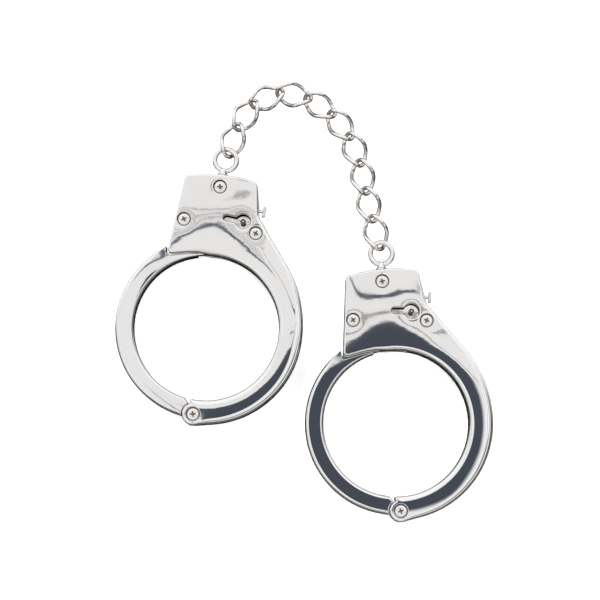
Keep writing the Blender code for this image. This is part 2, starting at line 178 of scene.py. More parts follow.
def rimmed(points, start, end=None):
    """(x, y, rim) points whose rim radius runs from start to end."""
    end = start if end is None else end
    last = max(1, len(points) - 1)
    return [(x, y, start + (end - start) * i / last) for i, (x, y) in enumerate(points)]


def resampled(points, step):
    """Evenly spaced points round a closed outline, with a softened rim radius."""
    loop = [Vector(p) for p in points] + [Vector(points[0])]
    lengths = [0.0]
    for a, b in zip(loop, loop[1:]):
        lengths.append(lengths[-1] + (b.xy - a.xy).length)
    count = round(lengths[-1] / step)
    out, k = [], 0
    for i in range(count):
        at = lengths[-1] * i / count
        while lengths[k + 1] < at:
            k += 1
        span = max(lengths[k + 1] - lengths[k], 1e-9)
        out.append(loop[k].lerp(loop[k + 1], (at - lengths[k]) / span))
    reach = max(1, round(1.6 / step))
    soft = []
    for i, point in enumerate(out):
        near = [out[(i + j) % count].z for j in range(-reach, reach + 1)]
        soft.append((point.x, point.y, min(point.z, sum(near) / len(near))))
    return soft


def inset(points, distances):
    """Outline moved inwards by a distance of its own at each point."""
    count = len(points)
    moved = []
    for i in range(count):
        here = Vector(points[i][:2])
        before = (here - Vector(points[i - 1][:2])).normalized()
        after = (Vector(points[(i + 1) % count][:2]) - here).normalized()
        normal = Vector((-(before + after).y, (before + after).x)).normalized()
        stretch = 1.0 / max(0.75, normal.dot(Vector((-after.y, after.x))))
        moved.append(here + normal * (distances[i] * stretch))
    return moved


# --------------------------------------------------------------------------
# Meshes

def new_object(name, data):
    obj = bpy.data.objects.new(name, data)
    bpy.context.scene.collection.objects.link(obj)
    return obj


def from_rings(rings):
    """Closed skin over rings of equal length, capped flat at both ends."""
    work = bmesh.new()
    layers = [[work.verts.new(p) for p in ring] for ring in rings]
    count = len(rings[0])
    for low, high in zip(layers, layers[1:]):
        for i in range(count):
            j = (i + 1) % count
            work.faces.new((low[i], low[j], high[j], high[i]))
    work.faces.new(layers[0][::-1])
    work.faces.new(layers[-1])
    bmesh.ops.recalc_face_normals(work, faces=work.faces)
    mesh = bpy.data.meshes.new("solid")
    work.to_mesh(mesh)
    work.free()
    return new_object("solid", mesh)


def rim_height(width):
    """Height of a rim: as tall as wide when small, flatter when wide."""
    return width if width < 1.2 else 1.2 + 0.3 * (width - 1.2)


def plate(points, low, high, low_rim=False, high_rim=False, tall=1.0, steps=8):
    """Plate from (x, y, rim) points, with rounded rims where they are asked for."""
    widths = [p[2] for p in points]
    heights = [rim_height(w) * tall for w in widths]

    def ring(level, way, swing):
        flat = inset(points, [w * (1.0 - math.cos(swing)) for w in widths])
        return [(p.x, p.y, level + way * h * (1.0 - math.sin(swing)))
                for p, h in zip(flat, heights)]

    turns = [math.radians(90.0 * k / steps) for k in range(steps + 1)]
    rings = [ring(low, 1.0, turn) for turn in turns[::-1]] if low_rim else []
    if not low_rim:
        rings.append([(p[0], p[1], low) for p in points])
    if high_rim:
        rings += [ring(high, -1.0, turn) for turn in turns]
    else:
        rings.append([(p[0], p[1], high) for p in points])
    return from_rings(rings)


def slab(outline, low, high):
    return plate([(x, y, 0.0) for x, y in outline], low, high)


def turned(profile, place=Matrix.Identity(4), sides=48):
    """Solid of revolution from (radius, height) points, top to bottom."""
    rings = []
    for radius, height in profile[::-1]:
        r = max(radius, 0.001)
        rings.append([(r * math.cos(2 * math.pi * i / sides),
                       r * math.sin(2 * math.pi * i / sides), height) for i in range(sides)])
    solid = from_rings(rings)
    solid.data.transform(place)
    return solid


def upright(spot):
    """Placement on a spot of the cuff, with the axis straight up."""
    return Matrix.Translation((*spot, 0.0))


def rod(centre, radius, low, high):
    return turned(((radius, high), (radius, low)), upright(centre))


def closed_wire(points, radius):
    """Round wire along a closed loop of points."""
    curve = bpy.data.curves.new("wire", "CURVE")
    curve.dimensions = "3D"
    curve.bevel_depth = 1.0
    curve.bevel_resolution = (WIRE_SIDES - 4) // 2
    line = curve.splines.new("POLY")
    line.points.add(len(points) - 1)
    for knot, place in zip(line.points, points):
        knot.co = (*place, 1.0)
        knot.radius = radius
    line.use_cyclic_u = True
    return baked(new_object("wire", curve))


def baked(obj):
    """Plain mesh object in place of one with modifiers or a curve bevel."""
    graph = bpy.context.evaluated_depsgraph_get()
    mesh = bpy.data.meshes.new_from_object(obj.evaluated_get(graph), depsgraph=graph)
    bpy.data.objects.remove(obj)
    work = bmesh.new()
    work.from_mesh(mesh)
    bmesh.ops.remove_doubles(work, verts=work.verts, dist=0.0002)
    work.to_mesh(mesh)
    work.free()
    return new_object("solid", mesh)


def combine(base, operation, *tools):
    for tool in tools:
        step = base.modifiers.new("combine", "BOOLEAN")
        step.operation = operation
        step.solver = "EXACT"
        step.object = tool
        base = baked(base)
        bpy.data.objects.remove(tool)
    return base


def cut(base, *tools):
    return combine(base, "DIFFERENCE", *tools)


def join(base, *tools):
    return combine(base, "UNION", *tools)


# --------------------------------------------------------------------------
# Case halves

ARM_CUT = 118.0
BOW_CUT = 126.0
CASE_STEP = 0.7          # spacing of points round the case


def case_outline():
    """Lock case and fixed arm, with the rim radius that each stretch has."""
    arm_end = ray_meets_hole(ARM_CUT, HOLE_R)
    arm_foot = polar(KNUCKLE_R, ARM_CUT, HINGE)
    points = rimmed(arc(ARM_R, -77.0, 0.0), 2.0, 3.4)
    points += rimmed(arc(44.0, 1.5, 43.9, (-7.5, 0.0)), 3.4, 1.8)
    points += rimmed(fillet((24.2, 30.5), (10.7, 45.3), (7.5, 58.2), 5.0), 1.3)
    points += rimmed(fillet((10.7, 45.3), (7.5, 58.2), (1.0, 58.9), 1.6), 0.8)
    points += rimmed(bowed((5.6, 58.4), (-17.9, 55.9), 1.1)[1:-1], 0.8)
    points += rimmed(fillet((-12.0, 57.4), (-20.0, 55.4), (-20.4, 40.0), 2.0), 0.8)
    points += rimmed(fillet((-20.0, 55.4), (-20.5, 24.3), (-12.9, 26.6), 1.6), 0.8)
    points += rimmed([(-12.9, 26.5), (-8.5, 27.2)], 0.9, 1.3)
    points += rimmed(arc(HOLE_R, 98.0, angle_of(arm_end) + 3.0), 1.6, 2.1)
    points += rimmed(fillet(polar(HOLE_R, angle_of(arm_end) + 3.0), arm_end, arm_foot, 0.9), 0.8)
    points += rimmed(arc(KNUCKLE_R, ARM_CUT, 285.0, HINGE, 5.0), 0.8)
    return resampled(points, CASE_STEP)


def lock_chamber():
    outline = [(-18.7, 33.2), (-9.0, 31.4), (15.0, 31.4), (17.6, 34.4)]
    outline += [(8.9, 43.9), (6.1, 55.2), (4.9, 56.4), (-3.0, 57.0)]
    outline += [(-9.8, 57.0), (-17.2, 53.6), (-18.7, 52.4)]
    return slab(outline, BACK_Z, FRONT_Z)


def tongue_channel():
    outline = arc(TOOTH_R + 0.8, 88.5, 133.0, HINGE) + [(-30.0, 12.0), (4.0, 20.0)]
    half = TONGUE_T / 2.0 + GAP
    return slab(outline, MID - half, MID + half)


def pawl_window():
    outline = [(-18.7, 24.0), (4.0, 28.0), (4.0, 33.0), (-18.7, 34.0)]
    half = TONGUE_T / 2.0 + GAP - 0.02
    return slab(outline, MID - half, MID + half)


def knuckle_slot():
    half = HINGE_TONGUE / 2.0 + GAP
    return slab(arc(KNUCKLE_R + GAP, 0.0, 355.0, HINGE, 5.0), MID - half, MID + half)


def eye_place():
    return Matrix.Translation((EYE[0], 0.0, MID)) @ Matrix.Rotation(-math.pi / 2.0, 4, "X")


def eye_seat():
    bore_r = NECK_R + GAP
    bore = turned(((bore_r + 0.6, 62.0), (bore_r + 0.6, 58.6), (bore_r, 58.0),
                   (bore_r, 55.0)), eye_place())
    pocket_r = COLLAR_R + GAP
    pocket = turned(((pocket_r, COLLAR_Y[1] + GAP), (pocket_r, COLLAR_Y[0] - 0.25)), eye_place())
    return bore, pocket


def lever_slot():
    outline = [(6.0, LEVER_Y - 1.3), (14.0, LEVER_Y - 1.3)]
    outline += [(14.0, LEVER_Y + 1.1), (6.0, LEVER_Y + 1.1)]
    return slab(outline, MID - 1.1, MID + 1.1)


def flare_levels(lip, steps=6):
    """(growth, height) of a hole whose mouth opens in a quarter round."""
    levels = []
    for k in range(steps + 1):
        swing = math.radians(90.0 * k / steps)
        levels.append((lip * (1.0 - math.cos(swing)), CASE_T - lip + lip * math.sin(swing)))
    return levels


def screw_seat(centre, radius):
    """Sunk seat for a screw head, with a softly rounded mouth."""
    profile = [(radius + SEAT_LIP, CASE_T + 1.0)]
    profile += [(radius + grow, height) for grow, height in flare_levels(SEAT_LIP)][::-1]
    profile += [(radius, CASE_T - SEAT_DEPTH + 0.25), (radius - 0.25, CASE_T - SEAT_DEPTH)]
    return turned(profile, upright(centre), 64)


def keyhole():
    """Round hole with a slot to the left, softly rounded at the mouth."""
    radius, half, blend = KEY_HOLE_R, KEY_SLOT_HALF, 0.9
    x = -math.sqrt((radius + blend) ** 2 - (half + blend) ** 2)
    meet = angle_of((x, half + blend))
    cx, cy = KEY_POST
    outline = arc(radius, -meet, meet, KEY_POST, 6.0)
    outline += arc(blend, meet - 180.0, -90.0, (cx + x, cy + half + blend), 12.0)[1:]
    outline += arc(half, 90.0, 270.0, (KEY_SLOT_X, cy), 10.0)
    outline += arc(blend, 90.0, 180.0 - meet, (cx + x, cy - half - blend), 12.0)[:-1]
    points = [(px, py, 0.0) for px, py in outline]
    levels = [(0.0, FRONT_Z - 1.0)] + flare_levels(KEY_LIP) + [(KEY_LIP, CASE_T + 1.0)]
    rings = []
    for grow, height in levels:
        ring = inset(points, [-grow] * len(points))
        rings.append([(p.x, p.y, height) for p in ring])
    return from_rings(rings)


def front_case():
    seam = MID + SEAM / 2.0
    body = plate(case_outline(), seam, CASE_T, False, True)
    body = cut(body, lock_chamber(), tongue_channel(), pawl_window(), knuckle_slot())
    body = join(body, rod(SCREWS[0], 2.0, seam, CASE_T - 2.0))
    body = join(body, rod(SCREWS[1], 2.2, seam, CASE_T - 2.0))
    body = cut(body, *eye_seat(), lever_slot(), keyhole())
    for place in SCREWS:
        body = cut(body, screw_seat(place, SEAT_R), rod(place, 1.2, 2.0, 10.0))
    body = cut(body, screw_seat(HINGE, SEAT_R + 0.1), rod(HINGE, 1.5, 2.0, 10.0))
    return cut(body, rod(PAWL_PIN, 1.35, MID, FRONT_Z + 0.8))


def back_case():
    seam = MID - SEAM / 2.0
    body = plate(case_outline(), 0.0, seam, True, False)
    body = cut(body, lock_chamber(), tongue_channel(), pawl_window(), knuckle_slot())
    body = join(body, rod(SCREWS[0], 2.0, 1.0, seam), rod(SCREWS[1], 2.2, 1.0, seam))
    body = join(body, rod(KEY_POST, 3.3, 1.0, KEY_FLOOR_Z))
    shelf = [(-3.8, 40.6), (KEY_POST[0], 40.6), (KEY_POST[0], 43.3), (-3.8, 43.3)]
    body = join(body, slab(shelf, 1.0, KEY_FLOOR_Z - 0.02))
    rib = [(-19.0, 43.9), (-10.6, 43.9), (-10.6, 45.2), (-19.0, 45.2)]
    body = join(body, slab(rib, 1.0, seam))
    body = cut(body, *eye_seat(), lever_slot())
    for place in SCREWS:
        body = cut(body, rod(place, 1.05, 1.2, CASE_T))
    body = cut(body, rod(HINGE, 1.5, 1.2, CASE_T))
    return cut(body, rod(PAWL_PIN, 1.35, 0.8, MID), rod(KEY_POST, 1.3, 2.6, MID))


# --------------------------------------------------------------------------
# Fasteners and lock parts

def pan_screw(centre, length, shank, turn):
    """Domed pan head with a tapered cross recess."""
    top = CASE_T - 0.25
    under = CASE_T - SEAT_DEPTH + 0.1
    profile = [(0.001, top)]
    for k in range(1, 9):
        r = 1.9 * k / 8.0
        profile.append((r, top - 0.16 * (r / 1.9) ** 2))
    profile += [(2.15, top - 0.28), (2.33, top - 0.5), (2.4, top - 0.8), (2.4, under + 0.1)]
    profile += [(2.3, under), (shank, under), (shank, top - length + 0.3)]
    profile += [(shank - 0.3, top - length)]
    screw = turned(profile, upright(centre), 56)
    for angle in (turn, turn + 90.0):
        foot = [(-0.8, -0.2, -0.95), (0.8, -0.2, -0.95), (0.8, 0.2, -0.95), (-0.8, 0.2, -0.95)]
        brow = [(-1.25, -0.3, 0.5), (1.25, -0.3, 0.5), (1.25, 0.3, 0.5), (-1.25, 0.3, 0.5)]
        bar = from_rings([foot, brow])
        spin = Matrix.Rotation(math.radians(angle), 4, "Z")
        bar.data.transform(Matrix.Translation((centre[0], centre[1], top)) @ spin)
        screw = cut(screw, bar)
    well = turned(((0.62, 0.4), (0.52, -0.3), (0.25, -1.05)), sides=24)
    well.data.transform(Matrix.Translation((centre[0], centre[1], top)))
    # Faces inside the cross recess take the second material, painted shade.
    return shaded_inside(cut(screw, well), centre, 1.35, top - 0.2, under)


def shaded_inside(solid, centre, reach, high, low):
    """Second material, painted shade, on faces near an axis, between two heights."""
    solid.data.materials.append(None)
    solid.data.materials.append(None)
    for face in solid.data.polygons:
        near = math.hypot(face.center.x - centre[0], face.center.y - centre[1]) < reach
        if near and low < face.center.z < high:
            face.material_index = 1
    return solid


def key_post():
    """Hollow pin with a rolled lip and a bright domed core; all but the core takes the dark recess
    material, painted shade.
    """
    top = CASE_T - 0.9
    profile = [(0.001, top), (0.2, top - 0.03), (0.36, top - 0.14), (0.42, top - 0.3)]
    profile += [(0.42, top - 2.0), (0.66, top - 2.0), (0.68, top - 0.12), (0.76, top - 0.02)]
    profile += [(0.86, top - 0.02), (0.96, top - 0.12), (1.0, top - 0.3), (1.0, 3.0), (0.9, 2.9)]
    post = turned(profile, upright(KEY_POST))
    post.data.materials.append(None)
    post.data.materials.append(None)
    for face in post.data.polygons:
        away = math.hypot(face.center.x - KEY_POST[0], face.center.y - KEY_POST[1])
        if away > 0.43:
            face.material_index = 1
    return post


def soft_plate(outline, low, high, rim):
    points = resampled([(x, y, rim) for x, y in outline], 0.25)
    return plate(points, low, high, True, True, steps=4)


def release_lever():
    """Flat bar through the wall, with a rounded cross end."""
    bar = soft_plate([(-3.9, LEVER_Y - 0.6), (11.9, LEVER_Y - 0.6), (11.9, LEVER_Y + 0.4),
                      (-3.9, LEVER_Y + 0.4)], MID - 0.8, MID + 0.8, 0.2)
    cross = fillet((11.6, 52.0), (11.6, 46.0), (12.7, 46.0), 0.4, 5)
    cross += fillet((11.6, 46.0), (12.7, 46.0), (12.7, 50.0), 0.5, 5)
    cross += fillet((12.7, 46.0), (12.7, 50.3), (11.6, 50.3), 0.5, 5)
    cross += fillet((12.7, 50.3), (11.6, 50.3), (11.6, 46.0), 0.4, 5)
    return join(bar, soft_plate(cross, MID - 0.95, MID + 0.95, 0.3))


def swivel_eye():
    """Ring with a neck that flares into it, and the collar inside the case."""
    points = [(EYE[0] + EYE_R * math.cos(2.0 * math.pi * i / 72),
               EYE[1] + EYE_R * math.sin(2.0 * math.pi * i / 72), MID) for i in range(72)]
    ring = closed_wire(points, EYE_WIRE)
    foot = EYE[1] - EYE_R
    profile = [(0.5, foot + 0.95), (1.0, foot + 0.85), (1.25, foot + 0.6), (1.38, foot),
               (1.4, 59.5), (1.5, 59.25), (NECK_R, 59.1), (NECK_R, COLLAR_Y[1]),
               (COLLAR_R, COLLAR_Y[1]), (COLLAR_R, COLLAR_Y[0])]
    return join(ring, turned(profile, eye_place(), 40))


# --------------------------------------------------------------------------
# Bow

def tooth_edge(start, end, tip, root):
    points = []
    count = round(abs(end - start) / TOOTH_STEP)
    step = (end - start) / count
    for i in range(count):
        points.append(polar(root, start + step * i, HINGE))
        points.append(polar(tip, start + step * (i + 0.85), HINGE))
    points.append(polar(root, end, HINGE))
    return points


def bow_section():
    """Full section of the bow: rounder outside than inside, square at its ends."""
    outer = circles_meet(BOW_R, HINGE, KNUCKLE_R + GAP, -1.0)
    inner = ray_meets_hole(BOW_CUT, HOLE_R)
    end = angle_of(outer) + 360.0
    points = rimmed(arc(BOW_R, 128.0, 142.0, step=1.0), 0.03, 1.5)
    points += rimmed(arc(BOW_R, 144.0, end - 1.0), 1.5)
    points += rimmed(arc(KNUCKLE_R + GAP, angle_of(outer, HINGE) % 360.0, BOW_CUT, HINGE, 6.0), 0.4)
    points += rimmed(arc(HOLE_R, angle_of(inner) % 360.0 - 1.0, 134.0), 1.2)
    points += rimmed(arc(HOLE_R, 133.0, 108.5), 1.1, 0.3)
    points += rimmed(arc(NOSE_R, 100.6, 111.6, HINGE, 1.0), 0.25, 0.4)
    points += rimmed([(-20.95, 24.4)], 0.2)
    return resampled(points, 0.5)


def bow():
    half = BOW_T / 2.0
    body = plate(bow_section(), MID - half, MID + half, True, True, 1.25)

    half = HINGE_TONGUE / 2.0
    neck = arc(BOW_R - 1.2, 250.0, 268.0) + arc(HOLE_R + 1.5, 268.0, 250.0)
    body = join(body, slab(neck, MID - half, MID + half))
    body = join(body, rod(HINGE, KNUCKLE_R - 0.1, MID - half, MID + half))
    body = cut(body, rod(HINGE, 1.5, 0.0, CASE_T))

    half = TONGUE_T / 2.0
    root = TOOTH_R - TOOTH_DEPTH
    tongue = tooth_edge(TONGUE_TIP, 110.0, TOOTH_R, root)
    tongue += [polar(root, 113.0, HINGE)] + arc(BOW_R - 1.9, 133.0, 139.0)
    tongue += arc(HOLE_R + 0.4, 139.0, 104.0)
    return join(body, slab(tongue, MID - half, MID + half))


# --------------------------------------------------------------------------
# Chain

def chain_link():
    """Curb link: an oval of wire, twisted about its long axis."""
    steps = 96
    fullness = 0.87      # below 1, the oval is squarer than an ellipse
    points = []
    for i in range(steps):
        angle = 2.0 * math.pi * i / steps
        cosine, sine = math.cos(angle), math.sin(angle)
        x = LINK_HALF * math.copysign(abs(cosine) ** fullness, cosine)
        y = LINK_WIDE * math.copysign(abs(sine) ** fullness, sine)
        twist = -math.radians(LINK_TWIST) * math.sin(math.pi / 2.0 * x / LINK_HALF)
        points.append((x, y * math.cos(twist), y * math.sin(twist)))
    return closed_wire(points, LINK_WIRE)


# --------------------------------------------------------------------------
# Materials

class Nodes:
    """Short-hand for building a node tree."""

    def __init__(self, tree):
        self.tree = tree

    def add(self, kind, **settings):
        node = self.tree.nodes.new(kind)
        for name, value in settings.items():
            if hasattr(node, name):
                setattr(node, name, value)
            else:
                node.inputs[name.replace("_", " ")].default_value = value
        return node

    def link(self, source, target):
        self.tree.links.new(source, target)

    def noise(self, place, own, size, detail):
        """Noise with features of a size in mm, different for each object."""
        node = self.add("ShaderNodeTexNoise", noise_dimensions="4D")
        node.inputs["Scale"].default_value = 1.0 / size
        node.inputs["Detail"].default_value = detail
        self.link(place, node.inputs["Vector"])
        self.link(own, node.inputs["W"])
        return node.outputs["Fac"]

    def ramp(self, value, start, end):
        """0 at start, 1 at end, smooth between them."""
        node = self.add("ShaderNodeMapRange", interpolation_type="SMOOTHSTEP")
        node.inputs["From Min"].default_value = start
        node.inputs["From Max"].default_value = end
        self.link(value, node.inputs["Value"])
        return node.outputs["Result"]

    def maths(self, operation, a, b):
        node = self.tree.nodes.new("ShaderNodeMath")
        node.operation = operation
        for socket, value in zip(node.inputs, (a, b)):
            if isinstance(value, (int, float)):
                socket.default_value = value
            else:
                self.link(value, socket)
        return node.outputs[0]

    def times(self, first, *others):
        """Product of several values."""
        for other in others:
            first = self.maths("MULTIPLY", first, other)
        return first


def droop(tree, distance, slope, reach):
    """Height that sags towards an edge: slope at the edge, fading over reach (in mm)."""
    away = tree.maths("MAXIMUM", distance, 0.0)
    fade = tree.maths("EXPONENT", tree.maths("DIVIDE", away, -reach), 0.0)
    return tree.maths("MULTIPLY", fade, -slope * reach)


def distance_to(tree, place, spot):
    """Distance in the plane from a spot, in mm."""
    x = tree.maths("SUBTRACT", place[0], spot[0])
    y = tree.maths("SUBTRACT", place[1], spot[1])
    square = tree.maths("ADD", tree.maths("MULTIPLY", x, x), tree.maths("MULTIPLY", y, y))
    return tree.maths("SQRT", square, 0.0)


def ring_sag(tree, place):
    """Arms and bow are slightly crowned across their width, and the lock rolls off
    towards the wrist opening."""
    crown_r, crown_reach, crown_bend = 32.0, 4.5, -0.0045
    radius = distance_to(tree, place, (0.0, 0.0))
    side = tree.maths("MINIMUM", tree.maths("SUBTRACT", radius, crown_r), crown_reach)
    clear_of_lock = tree.maths("MAXIMUM", tree.ramp(place[1], 27.0, 12.0),
                               tree.ramp(place[0], 8.0, 24.0))
    crown = tree.times(side, side, crown_bend, clear_of_lock)

    roll = droop(tree, tree.maths("SUBTRACT", radius, HOLE_R), 0.021, 10.0)
    across = tree.maths("DIVIDE", tree.maths("ADD", place[0], 3.5), 14.0)
    window = tree.maths("EXPONENT", tree.times(across, across, -1.0), 0.0)
    return tree.maths("ADD", tree.times(roll, window, tree.ramp(place[1], 16.0, 26.0)), crown)


def lock_sag(tree, place):
    """The lock's outer edges, its screws and its keyhole roll off too."""
    total = droop(tree, tree.maths("ADD", place[0], 20.2), 0.010, 3.0)
    total = tree.maths("ADD", total, droop(tree, tree.maths("SUBTRACT", 57.4, place[1]), 0.014, 4.0))
    for spot in SCREWS:
        away = tree.maths("SUBTRACT", distance_to(tree, place, spot), SEAT_R + 0.4)
        total = tree.maths("ADD", total, droop(tree, away, 0.007, 1.6))
    away = tree.maths("SUBTRACT", distance_to(tree, place, KEY_POST), KEY_HOLE_R + 0.55)
    return tree.maths("ADD", total, droop(tree, away, 0.010, 2.2))


def metal(name, colour, rough, spread, ripples, sags=(), silhouette_shade=None):
    """Metal whose roughness and tint drift. ripples are (size in mm, slope) pairs,
    sags are functions that give a height in mm from a place in mm, and the last
    argument is painted shade: the colour where the surface turns out of sight."""
    material = bpy.data.materials.new(name)
    material.use_nodes = True
    tree = Nodes(material.node_tree)
    shader = material.node_tree.nodes["Principled BSDF"]
    shader.inputs["Metallic"].default_value = 1.0
    if sags:
        place = tree.add("ShaderNodeAttribute", attribute_name=PLACE).outputs["Vector"]
    else:
        scale = tree.add("ShaderNodeVectorMath", operation="SCALE")
        scale.inputs["Scale"].default_value = 1.0 / MM
        tree.link(tree.add("ShaderNodeTexCoord").outputs["Object"], scale.inputs[0])
        place = scale.outputs["Vector"]
    own = tree.maths("MULTIPLY", tree.add("ShaderNodeObjectInfo").outputs["Random"], 40.0)

    rough_drift = tree.noise(place, own, 4.0, 3.0)
    tree.link(tree.maths("ADD", tree.maths("MULTIPLY", rough_drift, spread * 2.0), rough - spread),
              shader.inputs["Roughness"])
    tint = tree.add("ShaderNodeMixRGB")
    tint.inputs["Color1"].default_value = (*colour, 1.0)
    tint.inputs["Color2"].default_value = (*(c * 0.92 for c in colour), 1.0)
    tree.link(tree.noise(place, own, 11.0, 4.0), tint.inputs["Fac"])
    tinted = tint.outputs["Color"]
    # Painted shade: the colour darkens where the surface turns out of sight, in place of dark
    # reflections along rims and wires; the specular tint takes the same colour.
    if silhouette_shade:
        silhouette_shade_mix = tree.add("ShaderNodeMixRGB")
        facing = tree.add("ShaderNodeLayerWeight", Blend=0.5).outputs["Facing"]
        tree.link(tree.ramp(facing, 0.22, 0.62), silhouette_shade_mix.inputs["Fac"])
        tree.link(tinted, silhouette_shade_mix.inputs["Color1"])
        silhouette_shade_mix.inputs["Color2"].default_value = (*silhouette_shade, 1.0)
        tinted = silhouette_shade_mix.outputs["Color"]
        shader.inputs["Specular Tint"].default_value = (*silhouette_shade, 1.0)
    tree.link(tinted, shader.inputs["Base Color"])

    height = 0.0
    for size, slope in ripples:
        wave = tree.maths("MULTIPLY", tree.noise(place, own, size, 1.0), slope * size)
        height = tree.maths("ADD", wave, height)
    if sags:
        axes = tree.add("ShaderNodeSeparateXYZ")
        tree.link(place, axes.inputs[0])
        for sag in sags:
            height = tree.maths("ADD", height, sag(tree, axes.outputs))
    bump = tree.add("ShaderNodeBump", Strength=1.0, Distance=MM)
    tree.link(height, bump.inputs["Height"])
    tree.link(bump.outputs["Normal"], shader.inputs["Normal"])
    return material


MIRROR = ((14.0, 0.0012), (3.5, 0.0006), (1.0, 0.0004))
# The last colour of each metal here is painted shade where its surface turns out of sight.
CHROME = {"colour": (0.88, 0.88, 0.885), "rough": 0.022, "spread": 0.008, "ripples": MIRROR,
          "silhouette_shade": (0.62, 0.58, 0.56)}
CASE_CHROME = metal("case_chrome", sags=(ring_sag, lock_sag), **CHROME)
BOW_CHROME = metal("bow_chrome", sags=(ring_sag,), **CHROME)
WIRE_CHROME = metal("wire_chrome", (0.92, 0.91, 0.90), 0.13, 0.02, ((4.0, 0.002),),
                    silhouette_shade=(0.50, 0.44, 0.40))
STEEL = metal("plated_steel", (0.86, 0.84, 0.82), 0.13, 0.04, ((2.0, 0.006), (0.4, 0.006)),
              silhouette_shade=(0.30, 0.25, 0.22))
# Dark recess material: painted shade for the screw recesses and for the key post's hollow and sides.
RECESS_SHADE = metal("recess_painted_shade", (0.30, 0.26, 0.23), 0.45, 0.1, ((1.0, 0.02), (0.3, 0.03)))
HARD = metal("hardened_steel", (0.62, 0.61, 0.60), 0.3, 0.08, ((3.0, 0.01), (0.3, 0.02)))
SPRING = metal("spring_steel", (0.55, 0.55, 0.57), 0.3, 0.06, ((2.0, 0.01), (0.3, 0.02)))


# --------------------------------------------------------------------------
# Assembly

def cuff_matrix(side):
    """Placement of a cuff's own frame, from its bow hinge and its pawl pivot."""
    hinge, pin = SPOTS[f"{side}_bow_hinge"], SPOTS[f"{side}_pawl_pivot"]
    turn = angle_of(pin, hinge) - angle_of(PAWL_PIN, HINGE)
    spin = Matrix.Rotation(math.radians(turn), 4, "Z")
    return Matrix.Translation(hinge) @ spin @ Matrix.Translation((-HINGE[0], -HINGE[1], -MID))


def link_matrix(index):
    """Placement of a link halfway between its two bends."""
    near = SPOTS[f"chain_bend_{index:02d}"]
    far = SPOTS[f"chain_bend_{index + 1:02d}"]
    spin = Matrix.Rotation(math.radians(angle_of(far, near)), 4, "Z")
    return Matrix.Translation((near + far) / 2.0) @ spin


def finish_piece(name, source, place, materials, body, node):
    """Place a copy of a millimetre mesh, shade it, and put it on its body."""
    mesh = source.data.copy()
    own_place = [value for vertex in mesh.vertices for value in vertex.co]
    mesh.attributes.new(PLACE, "FLOAT_VECTOR", "POINT").data.foreach_set("vector", own_place)
    mesh.transform(Matrix.Scale(MM, 4) @ place)
    marks = [face.material_index for face in mesh.polygons]
    mesh.materials.clear()
    for material in materials:
        mesh.materials.append(material)
    mesh.polygons.foreach_set("material_index", [min(m, len(materials) - 1) for m in marks])
    mesh.shade_smooth()
    mesh.set_sharp_from_angle(angle=CRISP)
    piece = new_object(name, mesh)
    weighted = piece.modifiers.new("weighted_normals", "WEIGHTED_NORMAL")
    weighted.keep_sharp = True
    weighted.weight = 80
    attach(piece, body)
    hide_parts(node)


def cuff_shapes():
    """The shown pieces of one cuff: name, mesh, materials, body, material slot."""
    # The second material paints shade in recesses.
    steel_and_shade = (STEEL, RECESS_SHADE)
    shapes = [("front_case", front_case(), (CASE_CHROME,), "case", "chrome"),
              ("back_case", back_case(), (CASE_CHROME,), "case", "chrome"),
              ("bow", bow(), (BOW_CHROME,), "bow", "chrome"),
              ("swivel_eye", swivel_eye(), (WIRE_CHROME,), "eye", "chrome"),
              ("hinge_screw", pan_screw(HINGE, 9.0, 1.2, 20.0), steel_and_shade, "case", "plated_steel"),
              ("key_post", key_post(), steel_and_shade, "case", "plated_steel"),
              ("release_lever", release_lever(), (STEEL,), "pawl", "plated_steel")]
    for i, (spot, turn) in enumerate(zip(SCREWS, (15.0, 40.0, 70.0))):
        screw = pan_screw(spot, 8.5, 0.85, turn)
        shapes.append((f"case_screw_{i + 1}", screw, steel_and_shade, "case", "plated_steel"))
    return shapes


def build_cuffs():
    shapes = cuff_shapes()
    hidden = (("pawl", HARD, "hardened_steel"), ("pawl_pin", STEEL, "plated_steel"),
              ("pawl_spring", SPRING, "spring_steel"))
    for side in ("left", "right"):
        place = cuff_matrix(side)
        for name, solid, materials, body, slot in shapes:
            node = f"{side}_{name}"
            finish_piece(f"{node}_finish", solid, place, materials, f"{side}_{body}", node)
        for name, material, slot in hidden:
            node = frame["nodes"][f"{side}_{name}"]
            node.data.materials.clear()
            node.data.materials.append(material)
    for shape in shapes:
        bpy.data.objects.remove(shape[1])


def build_chain():
    link = chain_link()
    for i in range(1, LINKS + 1):
        node = f"chain_link_{i:02d}"
        finish_piece(f"{node}_finish", link, link_matrix(i), (WIRE_CHROME,), f"link_{i:02d}",
                     node)
    bpy.data.objects.remove(link)


# --------------------------------------------------------------------------
# Studio

def towards_corner(tree, x, y):
    """Share of a direction that points to the picture's lower right, from -1 to 1."""
    length = tree.maths("SQRT", tree.maths("ADD", tree.maths("MULTIPLY", x, x),
                                           tree.maths("MULTIPLY", y, y)), 0.0)
    part = tree.maths("ADD", tree.maths("MULTIPLY", x, 0.5), tree.maths("MULTIPLY", y, -0.866))
    return tree.maths("DIVIDE", part, tree.maths("ADD", length, 1e-6))


